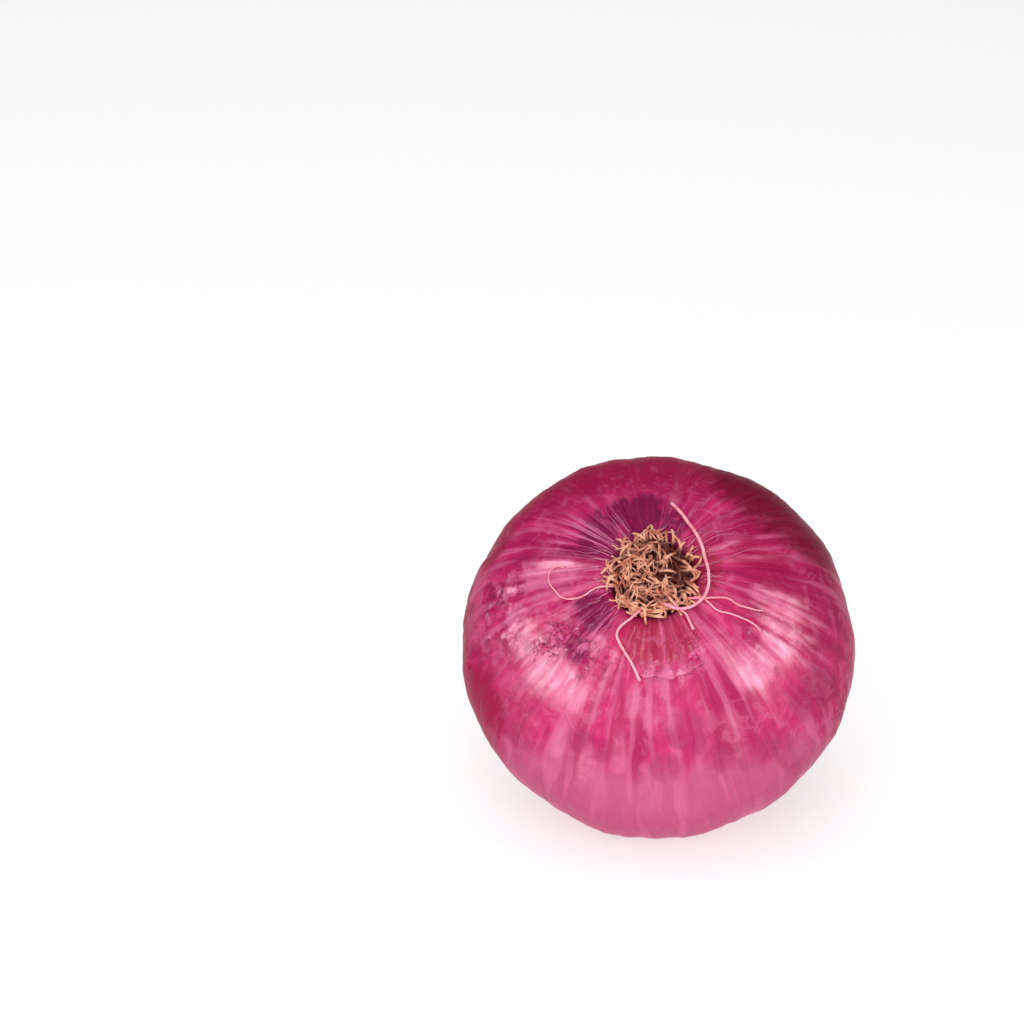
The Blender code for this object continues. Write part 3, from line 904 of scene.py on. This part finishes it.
# %% Basal plate
FIT_GAP = 0.3 * MM
PLATE_RADIUS = 8.0 * MM
PLATE_TOP = 32.5 * MM
PLATE_SIDES = 72


def plate_outline():
    foot = PIT_FLOOR + FIT_GAP
    return [
        (0.0, PLATE_TOP),
        (PLATE_RADIUS * 0.38, PLATE_TOP - 0.15 * MM),
        (PLATE_RADIUS * 0.72, PLATE_TOP - 0.7 * MM),
        (PLATE_RADIUS * 0.92, PLATE_TOP - 1.4 * MM),
        (PLATE_RADIUS, PLATE_TOP - 2.2 * MM),
        (PLATE_RADIUS * 0.96, foot),
        (0.0, foot),
    ]


plate_mesh = turned(plate_outline(), PLATE_SIDES)
lay_down(plate_mesh)

# %% [markdown]
# ## The roots
#
# Dry roots curl to and fro in a dense mat, lie down over the plate's rim, and a few long ones trail
# over the skin. Each is a walk: a start on the plate, a heading that turns at each stride, and a
# height over what it lies on. A seeded random makes them all different and the same in every run.
# The first ones follow the solid's own roots, but are thinner and drawn in a little, and lie down
# in a hollow at the right. Still thinner ones fill the gaps between them.

# %% Walks over the plate and the skin
ROOT_CLEARANCE = 1.0 * MM
ROOT_DEPTH = 1.3 * MM
GOLDEN_ANGLE = math.pi * (3 - math.sqrt(5))


def carpet(radius):
    """The height of what a root lies on: the plate, then the skin."""
    if radius < LIP_RADIUS:
        share = smoothstep(PLATE_RADIUS * 0.5, LIP_RADIUS, radius)
        return PLATE_TOP * (1 - share) + LIP_HEIGHT * share
    return CROWN_HEIGHT * math.sqrt(1 - (radius / BULB_RADIUS) ** 2)


def over_carpet(place, lift):
    radius = max(place.length, 0.1 * MM)
    angle = math.atan2(place.y, place.x)
    step = 0.2 * MM
    slope = (carpet(radius + step) - carpet(radius)) / step
    up = 1 / math.sqrt(1 + slope * slope)
    if radius > PLATE_RADIUS:
        lift = max(lift, ROOT_CLEARANCE)
    if radius > LIP_RADIUS:
        lift += relief(angle, radius, carpet(radius))
    far = direction(angle) * (radius - slope * up * lift)
    return Vector((far.x, far.y, carpet(radius) + up * lift))


def walk(start, headings, stride, lifts):
    place = start.copy()
    points = [over_carpet(place, lifts[0])]
    for heading, lift in zip(headings, lifts[1:]):
        place += direction(heading) * stride
        points.append(over_carpet(place, lift))
    return points


# %% Three kinds of root
MAT_STRIDES = 5
RIM_STRIDES = 4
MAT_REACH = 0.85
SOLID_SPREAD = 1.7
FILLING_SPREAD = 3.1
# The hollow's middle and half its width, in degrees round the axis
HOLLOW_MIDDLE = 18
HOLLOW_HALF_WIDTH = 62


def sunken(angle, share):
    """How far the mat lies down in the hollow at its right, from 0 to 1."""
    aside = abs((math.degrees(angle) - HOLLOW_MIDDLE + 180) % 360 - 180)
    inside = smoothstep(HOLLOW_HALF_WIDTH, 0.4 * HOLLOW_HALF_WIDTH, aside)
    return inside * smoothstep(0.3, 0.6, share)


def mat_root(index, count, chance, spread):
    """A short curled root. It sets out within a spread of straight out, or round the edge."""
    share = math.sqrt((index + 0.5) / count)
    angle = index * GOLDEN_ANGLE
    start = direction(angle) * share * (PLATE_RADIUS - 0.8 * MM)
    heading = angle + chance.uniform(-spread, spread)
    if spread > SOLID_SPREAD and share > 0.6:
        heading = angle + chance.choice((-1, 1)) * chance.uniform(1.2, 2.4)
    bend = chance.choice((-1, 1)) * chance.uniform(0.4, 1.5)
    sway = chance.uniform(0.0, 1.2)
    height = chance.uniform(0.9, 2.7) * MM * (1.2 - 0.5 * share) * (1 - 0.7 * sunken(angle, share))
    stride = chance.uniform(0.9, 1.35) * MM * MAT_REACH * (1 - 0.2 * max(0.0, math.sin(angle)))
    headings = [heading + bend * math.sin(sway * i) for i in range(MAT_STRIDES)]
    arc = [math.pi * (0.1 + 0.8 * i / MAT_STRIDES) for i in range(MAT_STRIDES + 1)]
    lifts = [height * math.sin(along) for along in arc]
    lifts[0] = -ROOT_DEPTH
    return walk(start, headings, stride, lifts)


def rim_root(index, count, chance):
    """A root at the plate's edge that lies down along the lip of the skin."""
    angle = math.tau * (index + chance.uniform(-0.3, 0.3)) / count
    start = direction(angle) * (PLATE_RADIUS - 0.9 * MM)
    side = chance.choice((-1, 1))
    first = angle + side * chance.uniform(0.3, 0.9)
    turn = side * chance.uniform(0.08, 0.34)
    headings = [first + turn * i for i in range(RIM_STRIDES)]
    lifts = [-ROOT_DEPTH] + [chance.uniform(0.9, 1.5) * MM for _ in range(RIM_STRIDES)]
    return walk(start, headings, chance.uniform(0.9, 1.25) * MM * MAT_REACH, lifts)


def laid_root(leaves, out, first, last, length, lift, stride):
    """A root that leaves the plate at an angle and a radius, and turns steadily as it goes."""
    start = direction(math.radians(leaves)) * out * MM
    count = round(length * MM / stride)
    headings = [math.radians(first + (last - first) * (i + 0.5) / count) for i in range(count)]
    lifts = [-ROOT_DEPTH, 0.8 * MM]
    lifts += [lift * MM * math.sin(math.pi * (i + 1) / count) for i in range(count - 1)]
    return walk(start, headings, stride, lifts)


# %% Tubes along smooth curves
def tubes(paths, thickness, smoothness, roundness):
    """One mesh of tapered tubes. A path is a list of points and a list of widths, one for each."""
    data = bpy.data.curves.new("tubes", "CURVE")
    data.dimensions = "3D"
    data.bevel_depth = thickness
    data.bevel_resolution = roundness
    data.use_fill_caps = True
    data.resolution_u = smoothness
    for points, widths in paths:
        spline = data.splines.new("BEZIER")
        spline.bezier_points.add(len(points) - 1)
        for knot, place, width in zip(spline.bezier_points, points, widths):
            knot.co = place
            knot.radius = width
            knot.handle_left_type = "AUTO"
            knot.handle_right_type = "AUTO"
    curve = bpy.data.objects.new("tubes", data)
    bpy.context.scene.collection.objects.link(curve)
    graph = bpy.context.evaluated_depsgraph_get()
    mesh = bmesh.new()
    mesh.from_mesh(curve.evaluated_get(graph).to_mesh())
    bpy.data.objects.remove(curve)
    bmesh.ops.remove_doubles(mesh, verts=mesh.verts[:], dist=1e-6)
    bmesh.ops.recalc_face_normals(mesh, faces=mesh.faces[:])
    return mesh


def tapered(points, taper, knobbly, chance):
    """The points of a root with their widths: narrower to the tip, and a little uneven."""
    last = len(points) - 1
    widths = [1 - taper * i / last + chance.uniform(-knobbly, knobbly) for i in range(last + 1)]
    return points, widths


def note_lift(mesh):
    """Keeps on each vertex how high it is over the plate, from 0 to 1: deep roots get painted shade.
    """
    layer = mesh.verts.layers.float.new("lift")
    for vertex in mesh.verts:
        radius = vertex.co.xy.length
        above = (vertex.co.z - carpet(radius)) / (2.6 * MM)
        above += 0.7 * smoothstep(0.85 * PLATE_RADIUS, 1.2 * PLATE_RADIUS, radius)
        vertex[layer] = min(1.0, max(0.0, above))


# %% [markdown]
# ## The roots' finish
#
# Dry roots are pinkish tan on top, and deep in the mat they are painted dark russet, a painted
# shade.
# The height kept on the vertices mixes the two. The trailing roots are smoother and pinker.

# %% Finish of the roots
ROOT_PALE = (0.76, 0.36, 0.24, 1)
ROOT_TAN = (0.44, 0.12, 0.065, 1)
# Painted shade deep in the mat
ROOT_PAINTED_SHADE = (0.11, 0.012, 0.006, 1)
TRAIL_PINK = (0.95, 0.34, 0.44, 1)
TRAIL_TAN = (0.85, 0.24, 0.32, 1)


def fibre_material(name, size, ends, colours, roughness, grain, depth):
    """Blotches of two colours, of a size in mm, under a fine grain. Given a third colour, roots deep
    in the mat take it as painted shade.
    """
    made, tree, shader = new_material(name)
    place = onion_place(tree)
    blotches = speckle(tree, place, size, 3.0)
    colour = mixed(tree, soft_mask(tree, blotches, *ends), *colours[:2])
    if len(colours) > 2:
        # Painted shade: the lower a root lies in the mat, the more it takes the third colour
        deep_and_painted_shade = soft_mask(tree, attribute(tree, "lift"), 0.86, 0.30)
        colour = mixed(tree, deep_and_painted_shade, colour, colours[2])
    rough = maths(tree, "ADD", roughness, share_of(tree, blotches, 0.2))
    feed(tree, shader, colour, rough, papery_grain(tree, place, grain), depth)
    return made


ROOT_COLOURS = (ROOT_TAN, ROOT_PALE, ROOT_PAINTED_SHADE)
TRAIL_COLOURS = (TRAIL_TAN, TRAIL_PINK)
ROOT = fibre_material("dry_root", 0.8, (0.40, 0.62), ROOT_COLOURS, 0.60, 0.18, 0.08 * MM)
TRAIL = fibre_material("trailing_root", 1.2, (0.38, 0.60), TRAIL_COLOURS, 0.45, 0.15, 0.05 * MM)
# The plate keeps no height, so it takes the painted shade all over
as_piece("basal_plate", plate_mesh, ROOT, "root_tuft")

# %% Mat of roots
ROOT_SEED = 12
MAT_ROOTS = 54
RIM_ROOTS = 18
ROOT_RADIUS = 0.35 * MM
FILLING_SEED = 31
FILLING_ROOTS = 220
FILLING_RIM_ROOTS = 26
FILLING_RADIUS = 0.25 * MM


def over_hollow(path):
    middle = path[len(path) // 2]
    return sunken(math.atan2(middle.y, middle.x), middle.xy.length / PLATE_RADIUS) > 0.6


def root_mat(seed, mats, rims, thickness, smoothness, roundness, spread):
    """Curled roots and rim roots in one mesh. Those of the filling stay out of the hollow."""
    chance = random.Random(seed)
    paths = [mat_root(i, mats, chance, spread) for i in range(mats)]
    paths += [rim_root(i, rims, chance) for i in range(rims)]
    if spread > SOLID_SPREAD:
        paths = [path for path in paths if not over_hollow(path)]
    uneven = random.Random(seed + 1)
    paths = [tapered(path, 0.35, 0.08, uneven) for path in paths]
    mesh = tubes(paths, thickness, smoothness, roundness)
    note_lift(mesh)
    lay_down(mesh)
    return mesh


thick_mat = root_mat(ROOT_SEED, MAT_ROOTS, RIM_ROOTS, ROOT_RADIUS, 3, 2, SOLID_SPREAD)
as_piece("root_mat", thick_mat, ROOT, "root_tuft")
thin_counts = (FILLING_SEED, FILLING_ROOTS, FILLING_RIM_ROOTS)
thin_mat = root_mat(*thin_counts, FILLING_RADIUS, 2, 0, FILLING_SPREAD)
as_piece("root_mat_filling", thin_mat, ROOT, "root_tuft")

# %% Roots that wrap the lower rim, and straight ones at the right
WRAP_STRIDE = 1.3 * MM
WRAP_RADIUS = 0.35 * MM
# Angle and radius where each leaves the plate, first and last heading, length, lift: degrees, mm
WRAPPING_ROOTS = (
    (-165, 7.6, -85, 5, 13, 1.3),
    (-150, 7.6, -70, 15, 11, 1.6),
    (-140, 8.6, -50, 0, 10, 1.2),
    (-175, 7.4, -95, -20, 9, 1.1),
    (-110, 7.2, -25, 30, 8, 1.3),
    (-120, 8.6, -30, 10, 7, 1.0),
    (-75, 6.4, -20, -60, 5, 1.2),
    (4, 4.2, -4, -12, 5.2, 2.0),
    (53, 5.0, -24, -66, 8, 1.9),
    (20, 4.6, -16, -40, 5.5, 1.9),
    (-13, 5.6, -40, -50, 5, 1.7),
    (-24, 6.4, -42, -50, 4, 1.5),
    (-90, 2.6, -46, -52, 7, 2.1),
    (-62, 3.6, -44, -50, 5.5, 1.9),
    (-100, 4.0, -60, -40, 5, 1.9),
    (98, 6.2, -125, -160, 9, 2.2),
    (60, 6.2, 100, 92, 4.5, 1.2),
    (95, 6.8, 120, 60, 4, 1.2),
    (150, 6.0, -120, -40, 7, 2.1),
    (170, 6.6, 100, 20, 6, 1.9),
    (135, 5.0, 170, 260, 6, 2.0),
    (-170, 5.0, 150, 250, 5, 2.1),
)


def wrapping_mesh():
    uneven = random.Random(9)
    paths = []
    for row in WRAPPING_ROOTS:
        paths.append(tapered(laid_root(*row, WRAP_STRIDE), 0.3, 0.08, uneven))
    mesh = tubes(paths, WRAP_RADIUS, 3, 1)
    note_lift(mesh)
    lay_down(mesh)
    return mesh


as_piece("wrapping_roots", wrapping_mesh(), ROOT, "root_tuft")

# %% Trailing roots
TRAIL_RADIUS = 0.33 * MM
# The width at the plate and at the tip, then the places it passes: angle round the axis, angle
# from the root end, and how far it stands off the skin in mm
TRAILING_ROOTS = (
    (
        (0.8, 1.1),
        (-104, 4, -2.2), (-90, 7.6, -0.6), (-71, 11.0, 1.1), (-57, 14, 1.6), (-38, 15.8, 2.0),
        (-25, 16, 2.2), (-5, 15.1, 2.3), (12, 14.6, 2.2), (29, 15.2, 2.0), (47, 16.8, 1.6),
        (58, 18.8, 1.3), (66, 21, 1.0), (77, 25.2, 0.5),
    ),
    (
        (0.7, 0.9),
        (-100, 6.5, -1.5), (-106, 11, 0.2), (-109, 13, 0.9), (-114, 15.4, 1.2), (-119, 17.8, 1.0),
        (-120, 20.6, 0.8), (-116, 22.4, 0.8), (-109, 24.9, 0.6), (-103, 27.8, 0.5), (-98, 32, 0.4),
    ),
    (
        (0.6, 0.4),
        (-155, 8, -1.5), (-162, 12.5, 0.4), (-165, 16, 1.0), (-163, 20.6, 0.8), (-164, 23.3, 0.8),
        (-168, 26.4, 0.7), (-175, 28.6, 0.6), (179, 30.4, 0.6), (175, 30.9, 0.6), (171, 30.2, 0.6),
        (169, 28.1, 0.6), (170, 26.3, 0.5),
    ),
    (
        (0.6, 0.5),
        (-50, 8, -1.5), (-40, 12.5, 0.3), (-33, 15.5, 0.9), (-25, 18.5, 0.8), (-20, 22.5, 0.6),
        (-21, 25.7, 0.6), (-20, 28.7, 0.6), (-19, 31.2, 0.5), (-17, 33.6, 0.4),
    ),
    (
        (0.6, 0.5),
        (-46, 9, -1.5), (-38, 13, 0.3), (-31, 15.8, 0.8), (-32, 17.8, 0.8), (-33, 21.1, 0.7),
        (-30, 24.5, 0.6), (-28, 28.1, 0.6), (-27, 32, 0.5), (-28, 34.7, 0.4),
    ),
    (
        (0.6, 0.9),
        (-70, 8, -1.0), (-61, 10.5, 1.0), (-59, 13.2, 0.9), (-55, 15.5, 0.7), (-56, 17.8, 0.6),
        (-57, 20.4, 0.4),
    ),
)


def trailing_mesh():
    uneven = random.Random(5)
    paths = []
    for (wide, tip), *places in TRAILING_ROOTS:
        points = [skin_place(turn, down, lift * MM) for turn, down, lift in places]
        points, widths = tapered(points, 1 - tip / wide, 0.07, uneven)
        paths.append((points, [wide * width for width in widths]))
    mesh = tubes(paths, TRAIL_RADIUS, 6, 2)
    lay_down(mesh)
    return mesh


as_piece("trailing_roots", trailing_mesh(), TRAIL, "root_tuft")

# %% [markdown]
# ## Hairs and veins on the skin
#
# Fine pale threads run over the skin from the roots: dead root hairs that have dried onto it, and
# veins that stand out. They are tubes again, thin as thread, laid on the raised skin. Seven long
# ones stand where the clearest are. The others fan out by a rule, half of them at the left.

# %% Threads on the skin
THREAD_RADIUS = 0.085 * MM
THREAD_KNOTS = 11
THREAD_LIFT = 0.05 * MM
# How far a thread waves to and fro, in degrees
WAVE = 0.5
# Angle round the axis and angle down from the roots, at the start and at the end, then the bow
THREADS = (
    (50, 13, 34, 36, -4),
    (34, 13, 30, 30, 3),
    (8, 13, 18, 38, 4),
    (137, 13, 140, 37, 3),
    (150, 13, 146, 32, -3),
    (158, 13, 157, 27, 2),
    (120, 13, 117, 31, 3),
)
# How many threads, the angles between which they start, and the shortest and longest, in degrees
FANS = (
    (11, 114, 174, 4, 13),
    (8, -22, 55, 4, 10),
    (7, -160, -100, 3, 8),
    (5, 60, 112, 3, 8),
    (9, 172, 215, 3, 8),
)


def thread(start, start_down, end, end_down, bow, chance):
    """One thread that lies on the skin, bowed and a little wavy, and narrower to its tip."""
    points = []
    for i in range(THREAD_KNOTS):
        t = i / (THREAD_KNOTS - 1)
        turn = start + (end - start) * t + bow * math.sin(math.pi * t) + chance.uniform(-0.25, 0.25)
        down = start_down + (end_down - start_down) * t
        turn += WAVE * math.sin(9 * t + start)
        lift = THREAD_RADIUS * 0.6 + THREAD_LIFT * math.sin(math.pi * t)
        points.append(skin_place(turn, down, lift))
    return tapered(points, 0.75, 0.1, chance)


def threads_mesh():
    chance = random.Random(8)
    paths = [thread(*row, chance) for row in THREADS]
    for count, low, high, shortest, longest in FANS:
        for _ in range(count):
            start = chance.uniform(low, high)
            start_down = chance.uniform(12, 17)
            end_down = start_down + chance.uniform(shortest, longest)
            end = start + chance.uniform(-4, 4)
            paths.append(thread(start, start_down, end, end_down, chance.uniform(-3, 3), chance))
    mesh = tubes(paths, THREAD_RADIUS, 2, 0)
    lay_down(mesh)
    return mesh


HAIR_COLOURS = ((0.52, 0.09, 0.22, 1), (0.70, 0.21, 0.36, 1))
HAIR = fibre_material("dried_hair", 2.0, (0.42, 0.60), HAIR_COLOURS, 0.4, 0.15, 0.02 * MM)
as_piece("skin_threads", threads_mesh(), HAIR)

# %% [markdown]
# ## The dry neck
#
# Behind and below, the neck ends in a short brush of dried leaf stubs. The core is turned. Each
# stub is a pleated strip bent round it, narrower and ragged at its cut end. The first seven are
# the solid's own. Thinner ones between them make the end look cut through many leaves.

# %% Core and stubs of the neck
NECK_TOP = STUMP_FACE - FIT_GAP
NECK_LENGTH = 9.0 * MM
NECK_SIDES = 48
BLADES = 7
BLADE_SEED = 3
BLADE_THICKNESS = 0.42 * MM
BLADE_PLEAT = 0.25 * MM
BLADE_RAGGED = 0.8 * MM
THIN_BLADES = 9
THIN_BLADE_SEED = 17


def neck_outline():
    return [
        (0.0, NECK_TOP),
        (STUMP_RADIUS * 0.85, NECK_TOP),
        (STUMP_RADIUS * 0.86, NECK_TOP - 0.18 * NECK_LENGTH),
        (STUMP_RADIUS * 0.62, NECK_TOP - 0.6 * NECK_LENGTH),
        (0.0, NECK_TOP - 0.7 * NECK_LENGTH),
    ]


def neck_blade(index, chance, thickness, cells):
    """One dried leaf stub."""
    middle = index * GOLDEN_ANGLE
    inner = chance.uniform(0.45, 0.80) * STUMP_RADIUS
    spread = chance.uniform(0.6, 0.85)
    length = NECK_LENGTH * chance.uniform(0.78, 1.0)
    flare = chance.uniform(0.0, 1.3) * MM
    mesh = bmesh.new()
    bmesh.ops.create_grid(mesh, x_segments=cells, y_segments=cells, size=1.0)
    for vertex in mesh.verts:
        across = vertex.co.x
        along = (vertex.co.y + 1) / 2
        angle = middle + across * spread * (1 - 0.35 * along)
        radius = inner + flare * along * along + BLADE_PLEAT * math.cos(9 * across)
        ragged_edge = BLADE_RAGGED * math.sin(7 * across + index) * along
        ragged_edge += 0.5 * BLADE_RAGGED * noise.noise(Vector((9 * across, index, 0))) * along
        height = NECK_TOP - 0.5 * MM - along * length - ragged_edge
        round_neck = direction(angle) * radius
        vertex.co = (round_neck.x, round_neck.y + neck_bend(height), height)
    thicken(mesh, thickness)
    lay_down(mesh)
    return mesh


def core_mesh():
    mesh = turned(neck_outline(), NECK_SIDES)
    for vertex in mesh.verts:
        vertex.co.y += neck_bend(vertex.co.z)
    lay_down(mesh)
    return mesh


# %% [markdown]
# ## The neck's finish
#
# Dried leaf is tan paper with brown streaks and a trace of the skin's purple. The streaks are the
# same group as on the skin, closer together.

# %% Finish of the neck
LEAF_TAN = (0.55, 0.34, 0.19, 1)
LEAF_BROWN = (0.22, 0.09, 0.045, 1)
LEAF_PURPLE = (0.30, 0.08, 0.11, 1)


def leaf_material():
    made, tree, shader = new_material("dry_leaf")
    place = onion_place(tree)
    lines = streaks(tree, place, 16.0, 2.0, 0.3)
    clouds = speckle(tree, place, 2.5, 3.0)
    colour = mixed(tree, soft_mask(tree, lines, 0.50, 0.36), LEAF_TAN, LEAF_BROWN)
    colour = layer(tree, colour, soft_mask(tree, clouds, 0.50, 0.68), 0.6, LEAF_PURPLE)
    roughness = maths(tree, "ADD", 0.62, share_of(tree, clouds, 0.2))
    height = maths(tree, "ADD", lines, papery_grain(tree, place, 0.3))
    feed(tree, shader, colour, roughness, height, 0.12 * MM)
    return made


LEAF = leaf_material()
as_piece("neck_core", core_mesh(), LEAF, "dry_neck")


def add_stubs(title, count, shift, seed, thickness, cells):
    chance = random.Random(seed)
    for number in range(count):
        blade = neck_blade(number + shift, chance, thickness, cells)
        as_piece(f"{title}_{number + 1}", blade, LEAF, "dry_neck")


add_stubs("leaf_stub", BLADES, 0, BLADE_SEED, BLADE_THICKNESS, 22)
add_stubs("thin_leaf_stub", THIN_BLADES, 0.5, THIN_BLADE_SEED, 0.5 * BLADE_THICKNESS, 18)
